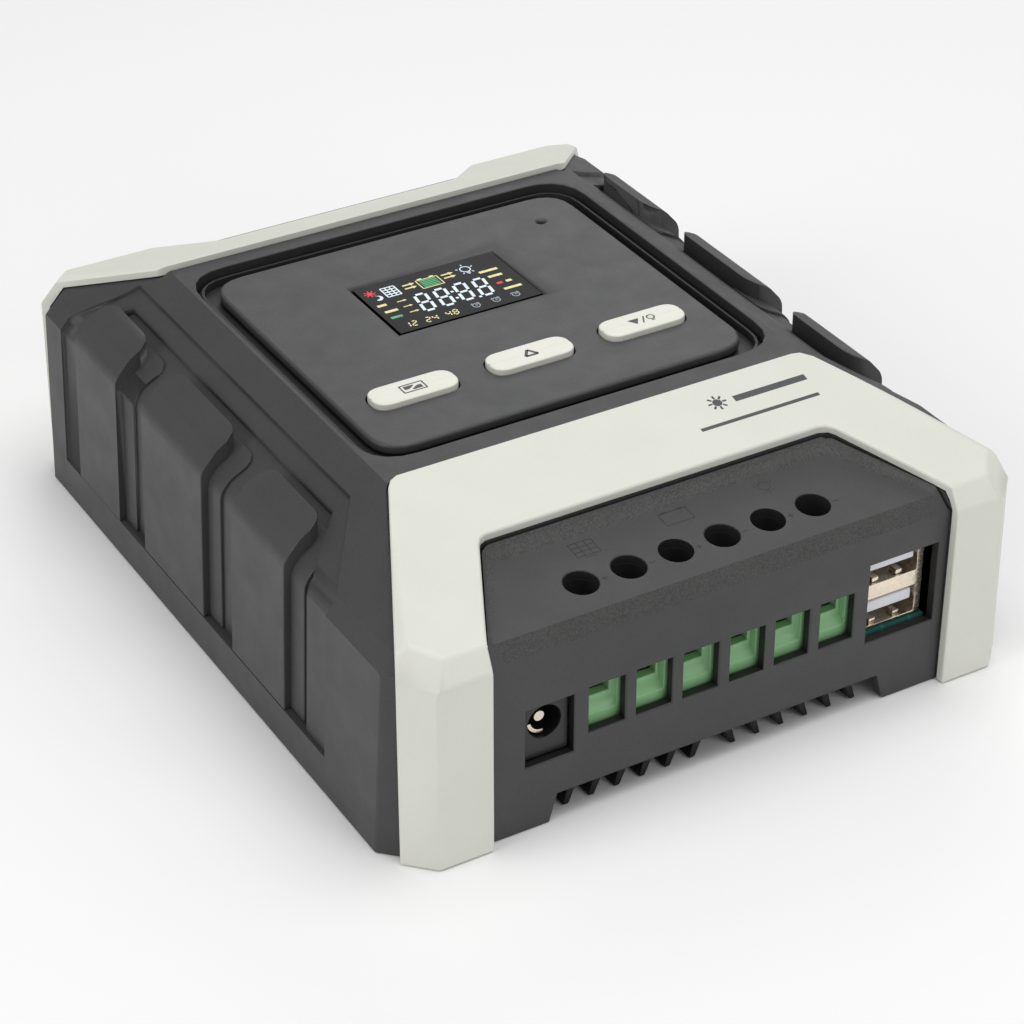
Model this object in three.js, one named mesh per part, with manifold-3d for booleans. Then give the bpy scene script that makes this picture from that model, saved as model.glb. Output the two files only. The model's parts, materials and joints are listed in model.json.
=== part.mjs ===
// Solar charge controller: a moulded housing with light end trims, a sunk display panel with
// three push buttons, a six-way screw terminal block, a DC jack and a double USB socket.
// Millimetres, +Z up. The model is built with its front cover on y = 0 and is then moved
// back by half its depth, so the origin is under the middle of the object.
import * as THREE from 'three';
import { ConvexGeometry } from 'three/addons/geometries/ConvexGeometry.js';
import { mergeVertices } from 'three/addons/utils/BufferGeometryUtils.js';
import Module from 'manifold-3d';

const wasm = await Module();
wasm.setup();

// ---------------------------------------------------------------- driving dimensions
const HALF_WIDTH = 64.8;          // side walls at the foot
const DEPTH = 153.3;              // front cover face to rear cover face
const DECK_Z = 49.0;              // flat top
const CORNER = 7.8;               // 45 degree corners in plan
const BAND_Z = 37;                // where the side wall turns into the dark band
const DRAFT = 1.6 / 37;           // side walls lean in
const TRIM_PROUD = 2.2;           // how far the trims stand out in front
const CORNER_PROUD = 2.1;
const SLANT_PROUD = 2.0;
const SLOPE_PROUD = 1.5;
const TRIM_TOP = 50.06;
const FRONT_TRIM_BACK = 41.1;     // y of the front trim's top edge
const REAR_TRIM_FRONT = 129.2;    // y of the rear trim's top edge
const GAP = 0.3;                  // between neighbouring pieces
const SIDE_WALL = 4.2;
const END_WALL = 2.6;
const TRAY_BOTTOM = 43.9;         // plate under the display panel
const MOAT_FLOOR = 45.9;
const PANEL_TOP = 48.4;
const PANEL_HALF = 38.83;
const PANEL_Y = [50.7, 121.44];
const MOAT_HALF = 42.6;
const MOAT_Y = [47, 125.3];
const LCD_HALF = 15.65;
const LCD_Y = [87.23, 107.22];
const BUTTON_PITCH = 24.4;
const BUTTON_Y = 66.25;
const BUTTON_SIZE = [17.5, 6.5];
const BUTTON_TOP = 49.4;
const BOARD_Z = [12.4, 14.0];
const DISPLAY_BOARD_Z = [36.9, 38.5];
const PITCH = 9.5;                // terminal pitch
const TERMINALS = 6;
const TERMINAL_Y = 9.2;
const WINDOW = { width: 7.24, z: [16.08, 25.63] };
const JACK = { x: -35.3, z: 20.47, bore: 6.5 };
const JACK_WINDOW = { x: [-39.86, -30.31], z: [13.17, 25.16] };
const USB_WINDOW = { x: [30.42, 45.26], z: [13.63, 30.33] };
const USB_SHELL = { x: [31.3, 44.4], z: [14.3, 29.9], y: [2.9, 19.4], wall: 0.5,
  side: 1.4 };
const COVER_WALL = 2.1;
const SKIRT_Z = 5.55;             // lower edge of the covers between their feet
const FIN_PITCH = 5.2;
const FIN_TIP_Z = 0.1;
const PLATE_Z = [8.5, 10.9];
const CASE_SCREWS = [[-52, 20], [52, 20], [-52, 132], [52, 132]];
const BOARD_SCREWS = [[-38, 60], [38, 120]];
const DISPLAY_SCREWS = [[-30, 78], [30, 78]];
const RECESS_FOOT = 7.6;          // lower edge of the side recesses
const RIBS = [[42, 63], [75, 101], [112.5, 131.5]];

// ---------------------------------------------------------------- materials
const finish = (color, roughness, metalness = 0) =>
  new THREE.MeshStandardMaterial({ color, roughness, metalness });
const CHARCOAL = finish(0x4c4c4d, 0.6);
const OFF_WHITE = finish(0xe2e3d9, 0.5);
const PANEL_GREY = finish(0x606265, 0.6);
const BLACK = finish(0x1b1b1c, 0.5);
const GLASS = finish(0x0b0b0c, 0.15);
const TERMINAL_GREEN = finish(0x78b48c, 0.45);
const STEEL = finish(0xc8c8c6, 0.3, 1);
const BOARD_GREEN = finish(0x3f6f62, 0.5);
const FIN_BLACK = finish(0x2c2c2d, 0.5, 0.6);
const WHITE = finish(0xe6e8ea, 0.4);
const COPPER = finish(0xb87333, 0.35, 1);
const PAD_GREY = finish(0x8a8f96, 0.8);

// ---------------------------------------------------------------- solids
function solid(geometry) {
  const bare = geometry.index ? geometry.toNonIndexed() : geometry;
  bare.deleteAttribute('normal');
  bare.deleteAttribute('uv');
  const merged = mergeVertices(bare, 1e-4);
  return new wasm.Manifold(new wasm.Mesh({
    numProp: 3,
    vertProperties: Float32Array.from(merged.attributes.position.array),
    triVerts: Uint32Array.from(merged.index.array),
  }));
}

function block(x, y, z) {
  const box = new THREE.BoxGeometry(x[1] - x[0], y[1] - y[0], z[1] - z[0]);
  box.translate((x[0] + x[1]) / 2, (y[0] + y[1]) / 2, (z[0] + z[1]) / 2);
  return solid(box);
}

function rod(x, y, z, radius, sides = 20) {
  const round = new THREE.CylinderGeometry(radius, radius, z[1] - z[0], sides);
  round.rotateX(Math.PI / 2);
  round.translate(x, y, (z[0] + z[1]) / 2);
  return solid(round);
}

function rodAlongY(x, z, y, radius, sides = 24) {
  const round = new THREE.CylinderGeometry(radius, radius, y[1] - y[0], sides);
  round.translate(x, (y[0] + y[1]) / 2, z);
  return solid(round);
}

// A closed outline whose corners [x, y, radius] are rounded where they have a radius.
function outline(corners) {
  const shape = new THREE.Shape();
  corners.forEach(([x, y, radius = 0], i) => {
    const here = new THREE.Vector2(x, y);
    const last = new THREE.Vector2(...corners.at(i - 1).slice(0, 2));
    const next = new THREE.Vector2(...corners[(i + 1) % corners.length].slice(0, 2));
    const backwards = last.sub(here).normalize();
    const forwards = next.sub(here).normalize();
    const reach = radius / Math.tan(backwards.angleTo(forwards) / 2);
    const start = here.clone().addScaledVector(backwards, reach);
    const end = here.clone().addScaledVector(forwards, reach);
    if (i === 0) shape.moveTo(start.x, start.y);
    else shape.lineTo(start.x, start.y);
    if (radius) shape.quadraticCurveTo(x, y, end.x, end.y);
  });
  shape.closePath();
  return shape;
}

function prism(corners, z, curveSegments = 5) {
  const geometry = new THREE.ExtrudeGeometry(outline(corners), {
    depth: z[1] - z[0], bevelEnabled: false, curveSegments,
  });
  geometry.translate(0, 0, z[0]);
  return solid(geometry);
}

// An outline given as [x, z] corners, swept along y.
function prismAlongY(corners, y) {
  const geometry = new THREE.ExtrudeGeometry(outline(corners), {
    depth: y[1] - y[0], bevelEnabled: false, curveSegments: 5,
  });
  geometry.rotateX(Math.PI / 2);
  geometry.translate(0, y[1], 0);
  return solid(geometry);
}

const rectangle = (halfX, y, radius = 0, centre = 0) => [
  [centre - halfX, y[0], radius], [centre + halfX, y[0], radius],
  [centre + halfX, y[1], radius], [centre - halfX, y[1], radius],
];

const mirrored = (corners) => corners.map(([x, y, radius]) => [-x, y, radius]).reverse();

function bothSides(make) {
  return make(1).add(make(-1));
}

// The convex solid inside a list of planes { normal, point }, each moved out by grow.
function convex(planes) {
  const halves = planes.map(({ normal, point, grow = 0 }) => {
    const n = new THREE.Vector3(...normal).normalize();
    return { n, d: n.dot(new THREE.Vector3(...point)) + grow };
  });
  const corners = [];
  for (let i = 0; i < halves.length; i++) {
    for (let j = i + 1; j < halves.length; j++) {
      for (let k = j + 1; k < halves.length; k++) {
        const [a, b, c] = [halves[i], halves[j], halves[k]];
        const bc = b.n.clone().cross(c.n);
        const volume = a.n.dot(bc);
        if (Math.abs(volume) < 1e-6) continue;
        const corner = bc.multiplyScalar(a.d)
          .addScaledVector(c.n.clone().cross(a.n), b.d)
          .addScaledVector(a.n.clone().cross(b.n), c.d)
          .divideScalar(volume);
        const inside = halves.every(({ n, d }) => n.dot(corner) < d + 1e-6);
        const fresh = corners.every((other) => other.distanceTo(corner) > 1e-4);
        if (inside && fresh) corners.push(corner);
      }
    }
  }
  return solid(new ConvexGeometry(corners));
}

// ---------------------------------------------------------------- housing surfaces
// Every outer plane of the body, on its right half; "side" planes are mirrored to the left.
const BODY_PLANES = [
  { name: 'bottom', normal: [0, 0, -1], point: [0, 0, 0] },
  { name: 'deck', normal: [0, 0, 1], point: [0, 0, DECK_Z] },
  { name: 'wall', side: true, normal: [1, 0, DRAFT], point: [HALF_WIDTH, 0, 0] },
  { name: 'band', side: true, normal: [3, 0, 2.6], point: [63.2, 0, BAND_Z] },
  { name: 'slope', side: true, normal: [9, 0, 17.1], point: [60.6, 0, 40] },
  { name: 'front', normal: [0, -1, 0], point: [0, 0, 0] },
  { name: 'frontBand', normal: [0, -4.5, 2.5], point: [0, -0.45, 36.03] },
  { name: 'frontSlant', normal: [0, -0.2098, 1], point: [0, 0.71, 39.54] },
  { name: 'rear', normal: [0, 1, 0], point: [0, DEPTH, 0] },
  { name: 'rearBand', normal: [0, 4.4, 2.7], point: [0, DEPTH + 0.5, 35.95] },
  { name: 'rearSlant', normal: [0, 0.367, 1], point: [0, 152.11, 39.52] },
  { name: 'corner', side: true, normal: [1, -1, 0.02], point: [HALF_WIDTH - CORNER, 0, 0] },
  { name: 'corner', side: true, normal: [1, 1, 0.02], point: [HALF_WIDTH - CORNER, DEPTH, 0] },
  { name: 'cornerBand', side: true, normal: [1, -1, 0.968], point: [61.13, 4.38, 35.89] },
  { name: 'cornerBand', side: true, normal: [1, 1, 0.968], point: [61.13, DEPTH - 4.38, 35.89] },
];
const FAR = 25;                   // grows a plane out of the way

// The body with all its planes grown by the same amount, except those named.
function body(grow, except = {}) {
  const planes = [];
  for (const plane of BODY_PLANES) {
    const moved = { ...plane, grow: except[plane.name] ?? grow };
    planes.push(moved);
    if (plane.side) {
      const [x, y, z] = plane.normal;
      const [px, py, pz] = plane.point;
      planes.push({ ...moved, normal: [-x, y, z], point: [-px, py, pz] });
    }
  }
  return convex(planes);
}

// The body between the trims, where the deck and slopes run on under the trims' edges.
const WITHOUT_SLANTS = { frontBand: FAR, frontSlant: FAR, rearBand: FAR, rearSlant: FAR };
const middle = (grow, except = {}) => body(grow, { ...WITHOUT_SLANTS, ...except });

const trimSurface = (bottom) => body(CORNER_PROUD, {
  bottom, deck: TRIM_TOP - DECK_Z, wall: 1, band: 1.2, slope: SLOPE_PROUD,
  front: TRIM_PROUD, rear: TRIM_PROUD, frontBand: SLANT_PROUD, rearBand: SLANT_PROUD,
  frontSlant: SLANT_PROUD, rearSlant: SLANT_PROUD,
});

function frontTrimOutline(grow) {
  const back = FRONT_TRIM_BACK + grow;
  return [[-66.2 - grow, -4.1], [66.2 + grow, -4.1], [43.1 + grow, back, 4], [-43.1 - grow, back, 4]];
}

function rearTrimOutline(grow) {
  const front = REAR_TRIM_FRONT - grow;
  const right = [[45.5 + grow, front, 3], [58.8 + grow, 146.5], [66 + grow, 154.1], [66 + grow, 160]];
  return [...right, ...mirrored(right)];
}

function frontArchOutline(grow, end = -5) {
  const right = [[47.4 + grow, end], [47 + grow, 0.3], [45.8 + grow, 2.8], [35.8 + grow, 22.56 + grow, 3]];
  return [...right, ...mirrored(right)];
}

function rearArchOutline(grow, end = 160) {
  const right = [[27 + grow, 142 - grow, 3], [36.8 + grow, 152.8], [37.2 + grow, end]];
  return [...right, ...mirrored(right)];
}

const ALL_Z = [-10, 80];

// ---------------------------------------------------------------- upper housing
function recessOutline(side, level) {
  const wide = [[75, 26.6], [61, 26.6], [48.8, 44.2], [48.8, 131.5], [53.4, 133.5],
    [61.3, 138.5], [75, 138.5]];
  const deep = [[75, 35], [61.5, 34.8], [51.8, 45], [51.8, 128], [60.8, 133.5], [75, 133.5]];
  const corners = level === 1 ? wide : deep;
  return side > 0 ? corners.slice().reverse() : mirrored(corners).reverse();
}

function recess(side, level, depth) {
  const column = prism(recessOutline(side, level), [RECESS_FOOT, 80]);
  return column.subtract(middle(-depth, { bottom: FAR, front: FAR, rear: FAR, corner: FAR, cornerBand: FAR }));
}

function ribPad(side, y, inner, radius, surface) {
  const corners = [[70, y[0]], [70, y[1]], [inner, y[1], radius], [inner, y[0], radius]];
  const ordered = side > 0 ? corners : mirrored(corners);
  return prism(ordered, [RECESS_FOOT + 0.1, 80]).intersect(surface);
}

function ribs(side) {
  const high = middle(0, { wall: 0, band: 0.9, slope: 1.7, deck: FAR, front: FAR, rear: FAR });
  const low = middle(-1.4, { deck: FAR, front: FAR, rear: FAR, corner: FAR, cornerBand: FAR });
  const pieces = RIBS.map(([start, end]) => {
    const rib = ribPad(side, [start, end], 55, 4, high);
    return rib.add(ribPad(side, [Math.max(start - 5, 35.4), start + 6], 54.2, 3, low));
  });
  return pieces.reduce((all, rib) => all.add(rib));
}

function upperHousing() {
  const trimZones = prism(frontTrimOutline(GAP), ALL_Z).add(prism(rearTrimOutline(GAP), ALL_Z));
  let outer = middle(0).subtract(trimZones).add(body(0));
  for (const side of [1, -1]) {
    outer = outer.subtract(recess(side, 1, 0.8)).subtract(recess(side, 2, 2.0)).add(ribs(side));
  }
  const cavity = body(-SIDE_WALL, {
    bottom: FAR, deck: TRAY_BOTTOM - DECK_Z, front: -END_WALL, rear: -END_WALL,
    frontBand: -END_WALL, rearBand: -END_WALL, frontSlant: -END_WALL, rearSlant: -END_WALL,
  });
  let shell = outer.subtract(cavity)
    .subtract(prism(frontArchOutline(GAP), ALL_Z))
    .subtract(prism(rearArchOutline(GAP), ALL_Z));
  const pocket = prism(rectangle(MOAT_HALF, MOAT_Y, 9), [MOAT_FLOOR, 80]);
  const lipOuter = prism(rectangle(41.8, [47.8, 124.5], 8.2), [MOAT_FLOOR - 0.5, 47.5]);
  const lipInner = prism(rectangle(41.1, [48.5, 123.8], 7.5), [MOAT_FLOOR - 1, 80]);
  shell = shell.subtract(pocket).add(lipOuter.subtract(lipInner));
  for (const [x, y] of CASE_SCREWS) {
    const boss = rod(x, y, [PLATE_Z[1] + GAP, 60], 4, 20).intersect(body(-2.5));
    shell = shell.add(boss).subtract(rod(x, y, [5, 24], 1.8, 12));
  }
  for (const [x, y] of DISPLAY_SCREWS) {
    shell = shell.add(rod(x, y, [DISPLAY_BOARD_Z[1] + GAP, TRAY_BOTTOM + 0.5], 2.8, 16))
      .subtract(rod(x, y, [30, 43], 1.4, 10));
  }
  shell = shell.subtract(prism(rectangle(20.5, [82.5, 112]), [40, 60]))
    .subtract(rod(29.5, 111.7, [40, 60], 2, 16));
  for (const i of [-1, 0, 1]) shell = shell.subtract(buttonShape(i, 0.4, [40, 60]));
  return shell;
}

// ---------------------------------------------------------------- trims and covers
function trim(zone, arch) {
  return trimSurface(0).intersect(prism(zone, ALL_Z))
    .subtract(body(GAP, { bottom: FAR, deck: GAP }))
    .subtract(prism(arch, ALL_Z));
}

function frontTrim() {
  return trim(frontTrimOutline(0), frontArchOutline(0));
}

function rearTrim() {
  return trim(rearTrimOutline(0), rearArchOutline(0));
}

const COVER_FLOOR = { normal: [0, -2.1, 18], point: [0, 2.2, 39.5] };
const flipped = ({ normal, point }) => ({ normal: normal.map((n) => -n), point });

function coverPocket() {
  const leftRamp = { normal: [-0.809, 0.588, -1], point: [-45.5, 2.78, 40.6] };
  const rightRamp = { normal: [0.809, 0.588, -1], point: [45.5, 2.78, 40.6] };
  const rearRamp = { normal: [0, 1, -1], point: [0, 22.26, 43.98] };
  return convex([
    flipped(COVER_FLOOR), leftRamp, rightRamp, rearRamp,
    { normal: [0, 0, 1], point: [0, 0, 70] },
    { normal: [0, -1, 0], point: [0, -20, 0] },
    { normal: [0, 1, 0], point: [0, 40, 0] },
    { normal: [1, 0, 0], point: [60, 0, 0] },
    { normal: [-1, 0, 0], point: [-60, 0, 0] },
  ]);
}

function coverPlanes(shrink, floorDrop) {
  const top = floorDrop === undefined
    ? { normal: [0, -3.38, 19.78], point: [0, 2.78, 40.6] }
    : { ...COVER_FLOOR, point: [0, 2.2, 39.5 - floorDrop] };
  return convex([
    top,
    { normal: [0, -1, 0], point: [0, shrink, 0] },
    { normal: [0, -3.7, 2.49], point: [0, 0.29, 36.9], grow: -shrink },
    { normal: [0, 0, -1], point: [0, 0, shrink ? -5 : 0] },
    { normal: [0, 1, 0], point: [0, 30, 0] },
    { normal: [1, 0, 0], point: [60, 0, 0] },
    { normal: [-1, 0, 0], point: [-60, 0, 0] },
  ]);
}

const SCREW_HOLE_RADIUS = 3.15;            // in the cover, for a screwdriver

function terminalCover() {
  const shelfZ = 34;                       // the cover's side walls stop here
  let cover = coverPlanes(0).intersect(prism(frontArchOutline(-GAP, 0), ALL_Z));
  cover = cover.subtract(coverPocket());
  const inside = prism(frontArchOutline(-GAP - COVER_WALL, 0), ALL_Z);
  cover = cover.subtract(inside.intersect(coverPlanes(COVER_WALL, COVER_WALL)));
  cover = cover.subtract(block([-60, 60], [COVER_WALL, 60], [-5, shelfZ]));
  const ventSlot = [[-35.49, -1], [35.49, -1], [33.6, SKIRT_Z], [-33.6, SKIRT_Z]];
  cover = cover.subtract(prismAlongY(ventSlot, [-5, 10]));
  const cut = [-5, COVER_WALL + 1];
  for (let i = 0; i < TERMINALS; i++) {
    const x = terminalX(i);
    cover = cover.subtract(block([x - WINDOW.width / 2, x + WINDOW.width / 2], cut, WINDOW.z));
    cover = cover.subtract(rod(x, TERMINAL_Y, [36, 60], SCREW_HOLE_RADIUS, 20));
  }
  cover = cover.subtract(block(JACK_WINDOW.x, cut, JACK_WINDOW.z));
  return cover.subtract(block(USB_WINDOW.x, cut, USB_WINDOW.z));
}

function rearCover() {
  const outside = convex([
    { normal: [0, 1, 0], point: [0, DEPTH, 0] },
    { normal: [0, 3.7, 2.49], point: [0, DEPTH - 0.29, 36.9] },
    { normal: [0, 0.34, 1], point: [0, DEPTH - 2.78, 40.6] },
    { normal: [0, 0, -1], point: [0, 0, 0] },
    { normal: [0, -1, 0], point: [0, 130, 0] },
    { normal: [1, 0, 0], point: [60, 0, 0] },
    { normal: [-1, 0, 0], point: [-60, 0, 0] },
  ]);
  const innerFace = DEPTH - COVER_WALL;
  const hollow = convex([
    { normal: [0, 1, 0], point: [0, innerFace, 0] },
    { normal: [0, 0.34, 1], point: [0, DEPTH - 2.78, 40.6 - COVER_WALL - 0.3] },
    { normal: [0, 0, -1], point: [0, 0, -5] },
    { normal: [0, -1, 0], point: [0, 130, 0] },
    { normal: [1, 0, 0], point: [60, 0, 0] },
    { normal: [-1, 0, 0], point: [-60, 0, 0] },
  ]);
  let cover = outside.intersect(prism(rearArchOutline(-GAP, DEPTH), ALL_Z)).subtract(hollow);
  cover = cover.subtract(prismAlongY([[-33.2, -1], [33.2, -1], [31.6, SKIRT_Z], [-31.6, SKIRT_Z]],
    [innerFace - 5, DEPTH + 5]));
  for (let i = -3; i <= 3; i++) {
    cover = cover.subtract(block([i * 8 - 1.5, i * 8 + 1.5], [innerFace - 1, DEPTH + 5], [16, 32]));
  }
  return cover;
}

// ---------------------------------------------------------------- display and buttons
function buttonShape(i, grow, z) {
  const [length, width] = BUTTON_SIZE.map((size) => size / 2 + grow);
  const radius = width * 0.999;
  return prism(rectangle(length, [BUTTON_Y - width, BUTTON_Y + width], radius, i * BUTTON_PITCH), z, 7);
}

function displayPanel() {
  let panel = prism(rectangle(PANEL_HALF, PANEL_Y, 7), [MOAT_FLOOR + GAP, PANEL_TOP]);
  panel = panel.subtract(prism(rectangle(LCD_HALF, LCD_Y), [40, 60]));
  const slant = 3;
  panel = panel.subtract(convex([
    { normal: [0, 0, -1], point: [0, 0, PANEL_TOP - 1] },
    { normal: [0, 0, 1], point: [0, 0, 60] },
    { normal: [1, 0, -slant], point: [LCD_HALF, 0, PANEL_TOP - 1] },
    { normal: [-1, 0, -slant], point: [-LCD_HALF, 0, PANEL_TOP - 1] },
    { normal: [0, 1, -slant], point: [0, LCD_Y[1], PANEL_TOP - 1] },
    { normal: [0, -1, -slant], point: [0, LCD_Y[0], PANEL_TOP - 1] },
    { normal: [1, 0, 0], point: [30, 0, 0] },
    { normal: [-1, 0, 0], point: [-30, 0, 0] },
    { normal: [0, 1, 0], point: [0, 118, 0] },
    { normal: [0, -1, 0], point: [0, 76, 0] },
  ]));
  panel = panel.subtract(rod(29.5, 111.7, [40, 60], 0.85, 12));
  for (const i of [-1, 0, 1]) panel = panel.subtract(buttonShape(i, 0.35, [40, 60]));
  return panel;
}

function button(i) {
  return buttonShape(i, 0, [42.9, BUTTON_TOP]).add(buttonShape(i, 1.3, [42.4, 43.4]));
}

function tactSwitch(i) {
  const x = i * BUTTON_PITCH;
  return block([x - 3, x + 3], [BUTTON_Y - 3, BUTTON_Y + 3], [38.8, 40.8])
    .add(rod(x, BUTTON_Y, [40.5, 41.6], 1.7, 16));
}

function statusLed() {
  return rod(29.5, 111.7, [38.8, 44.6], 1.5, 16).add(rod(29.5, 111.7, [38.8, 39.8], 1.9, 16));
}

function displayBoard() {
  let board = prism(rectangle(36, [53, 119], 2), DISPLAY_BOARD_Z);
  for (const [x, y] of DISPLAY_SCREWS) board = board.subtract(rod(x, y, [30, 50], 1.4, 10));
  return board;
}

// ---------------------------------------------------------------- terminals and sockets
function terminalX(i) {
  return (i - (TERMINALS - 1) / 2) * PITCH;
}

const CELL = { half: 3.4, y: [5.9, 12.9], z: [17.5, 30] };
const BLOCK_TOP = 34.5;
const SCREW_HEAD_HOLE_RADIUS = 3.1;

// The wire entry: a mouth as large as the cover's window, whose floor rises to a ledge, and
// behind it a square tunnel to the clamp.
function funnel(x) {
  const mouthEdge = [1.5, 3.6, 16.6, 25.8];
  const ledgeStart = [3.4, 3.1, 19.2, 25.6];
  const ledgeEnd = [3.9, 3.1, 19.2, 25.6];
  const corners = [];
  for (const [y, half, low, high] of [mouthEdge, ledgeStart, ledgeEnd]) {
    for (const dx of [-half, half]) {
      for (const z of [low, high]) corners.push(new THREE.Vector3(x + dx, y, z));
    }
  }
  const mouth = solid(new ConvexGeometry(corners));
  return mouth.add(block([x - 2.6, x + 2.6], [3.4, 6], [20.4, 25.4]));
}

function terminalBlock() {
  const half = (TERMINALS * PITCH) / 2 - 0.15;
  let housing = block([-half, half], [2.5, 19.5], [BOARD_Z[1] + GAP, BLOCK_TOP]);
  for (let i = 0; i < TERMINALS; i++) {
    const x = terminalX(i);
    housing = housing.subtract(funnel(x))
      .subtract(block([x - CELL.half, x + CELL.half], CELL.y, CELL.z))
      .subtract(rod(x, TERMINAL_Y, [29, 32], 1.9, 12))
      .subtract(rod(x, TERMINAL_Y, [31, 40], SCREW_HEAD_HOLE_RADIUS, 20));
  }
  return housing;
}

function terminalScrew(i) {
  const x = terminalX(i);
  const head = rod(x, TERMINAL_Y, [31.3, 33.4], 2.8, 20);
  const slot = block([x - 5, x + 5], [TERMINAL_Y - 0.45, TERMINAL_Y + 0.45], [32.5, 35]);
  const cross = block([x - 0.45, x + 0.45], [TERMINAL_Y - 1.9, TERMINAL_Y + 1.9], [32.5, 35]);
  return head.subtract(slot).subtract(cross).add(rod(x, TERMINAL_Y, [25.6, 32], 1.5, 12));
}

function wireClamp(i) {
  const x = terminalX(i);
  return block([x - 3.05, x + 3.05], [6.2, 12.6], [18.6, 28.3])
    .subtract(block([x - 2.45, x + 2.45], [0, 20], [20.3, 25.3]))
    .subtract(rod(x, TERMINAL_Y, [20, 40], 1.8, 12));
}

function usbShell() {
  const { x, y, z, wall, side } = USB_SHELL;
  const inside = [x[0] + wall, x[1] - side];
  const openings = [[z[0] + wall, z[0] + 6.2], [z[1] - 6.2, z[1] - wall]];
  return openings.reduce(
    (shell, opening) => shell.subtract(block(inside, [y[0] - 1, y[1] - 1.5], opening)),
    block(x, y, z),
  );
}

function usbTongue(which) {
  const { x, y, z, wall, side } = USB_SHELL;
  const top = which === 'upper' ? z[1] - 1.2 : z[0] + 5.5;
  const thick = 2.4;
  return block([x[0] + wall + GAP, x[1] - side - GAP - 0.2], [y[0] + 0.4, y[1] - 1.8], [top - thick, top]);
}

const JACK_BODY = { x: [-39.8, -30.8], y: [3.2, 17.6], z: [14.3, 25.1], face: 1.6 };

// The jack's nose stands in the cover's window.
function jackBody() {
  const nose = block([JACK_WINDOW.x[0] + GAP, JACK_WINDOW.x[1] - GAP], [JACK_BODY.face, JACK_BODY.y[0] + 1],
    [JACK_WINDOW.z[0] + GAP, JACK_WINDOW.z[1] - GAP]);
  return block(JACK_BODY.x, JACK_BODY.y, JACK_BODY.z).add(nose)
    .subtract(rodAlongY(JACK.x, JACK.z, [0, 13], JACK.bore / 2, 24));
}

const jackPin = () => rodAlongY(JACK.x, JACK.z, [3.4, 12.7], 1, 14);

// A curved contact that lies along the lower left of the bore.
function jackSpring() {
  const arc = (radius, from, to) => Array.from({ length: 7 }, (_, k) => {
    const angle = THREE.MathUtils.degToRad(from + ((to - from) * k) / 6);
    return [JACK.x + radius * Math.cos(angle), JACK.z + radius * Math.sin(angle)];
  });
  return prismAlongY([...arc(2.85, 190, 275), ...arc(2.2, 275, 190)], [2.6, 12.7]);
}

// ---------------------------------------------------------------- boards, heatsink, power parts
// The board's front edge steps back behind the DC jack.
function mainBoard() {
  const [half, front, back] = [45, 2.5, 146];
  const step = { x: -29.3, y: 6.6 };
  let board = prism([[-half, step.y], [step.x, step.y], [step.x, front], [half, front],
    [half, back], [-half, back]], BOARD_Z);
  for (const [x, y] of BOARD_SCREWS) board = board.subtract(rod(x, y, [5, 20], 1.8, 12));
  return board;
}

function fin(x) {
  const lean = Math.sign(x) * 3.1;         // the tip stands this far outside the root
  const root = x - lean;
  const corners = [[root - 1.25, PLATE_Z[0] + 0.5], [x - 0.6, FIN_TIP_Z], [x + 0.6, FIN_TIP_Z],
    [root + 1.25, PLATE_Z[0] + 0.5]];
  return prismAlongY(corners, [2.4, 150.9]);
}

function heatsink() {
  let sink = block([-33, 33], [2.4, 150.9], PLATE_Z).add(block([-58, 58], [8.5, 144.8], PLATE_Z));
  for (let i = 0; i < 6; i++) {
    const tip = 4.38 + FIN_PITCH * i;
    sink = sink.add(fin(tip)).add(fin(-tip));
  }
  for (const [x, y] of [...CASE_SCREWS, ...BOARD_SCREWS]) {
    sink = sink.subtract(rod(x, y, [-5, 20], 1.8, 12));
  }
  return sink;
}

function lathe(x, y, profile, sides = 16) {
  const geometry = new THREE.LatheGeometry(profile.map(([r, z]) => new THREE.Vector2(r, z)), sides);
  geometry.rotateX(Math.PI / 2);
  geometry.translate(x, y, 0);
  return solid(geometry);
}

const POWER_PARTS_Y = 133;
const ON_BOARD = BOARD_Z[1] + GAP;       // underside of the parts on the main board

function capacitor(i) {
  const [radius, top, chamfer] = [8, 38, 0.6];
  return lathe(-27 + 18 * i, POWER_PARTS_Y,
    [[0, ON_BOARD], [radius, ON_BOARD], [radius, top - chamfer], [radius - chamfer, top], [0, top]]);
}

const INDUCTOR = { x: 31, y: POWER_PARTS_Y };
const inductorCore = () => lathe(INDUCTOR.x, INDUCTOR.y,
  [[0, ON_BOARD], [9, ON_BOARD], [9, 16.3], [4, 16.3], [4, 26.3], [9, 26.3], [9, 28.3], [0, 28.3]]);
const inductorWinding = () => lathe(INDUCTOR.x, INDUCTOR.y,
  [[4.3, 16.6], [8.6, 16.6], [8.6, 26], [4.3, 26], [4.3, 16.6]]);

function mosfet(i) {
  const x = -24 + 16 * i;
  const tab = block([x - 5, x + 5], [91.5, 92.8], [17, 31]).subtract(rodAlongY(x, 29, [80, 100], 1.7, 12));
  const moulding = block([x - 5, x + 5], [88.4, 91.6], [17, 26]);
  return tab.add(moulding).add(block([x - 3.2, x + 3.2], [89.6, 90.4], [ON_BOARD, 17.2]));
}

function ribbonCable() {
  const corners = [[30, 36.6], [31, 36.6], [31.6, 34, 1], [40, 26, 3], [37, 14.3], [36, 14.3],
    [38.9, 26, 3], [30.7, 33.6, 1]];
  return prismAlongY(corners, [96, 112]);
}

function screw(x, y, head, shaft, headRadius, shaftRadius) {
  return rod(x, y, head, headRadius, 16).add(rod(x, y, shaft, shaftRadius, 10));
}

function caseScrew([x, y]) {
  const recess = block([x - 1.6, x + 1.6], [y - 0.4, y + 0.4], [5, 7])
    .add(block([x - 0.4, x + 0.4], [y - 1.6, y + 1.6], [5, 7]));
  return screw(x, y, [6.1, 8.2], [8, 22], 2.8, 1.5).subtract(recess);
}

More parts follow.
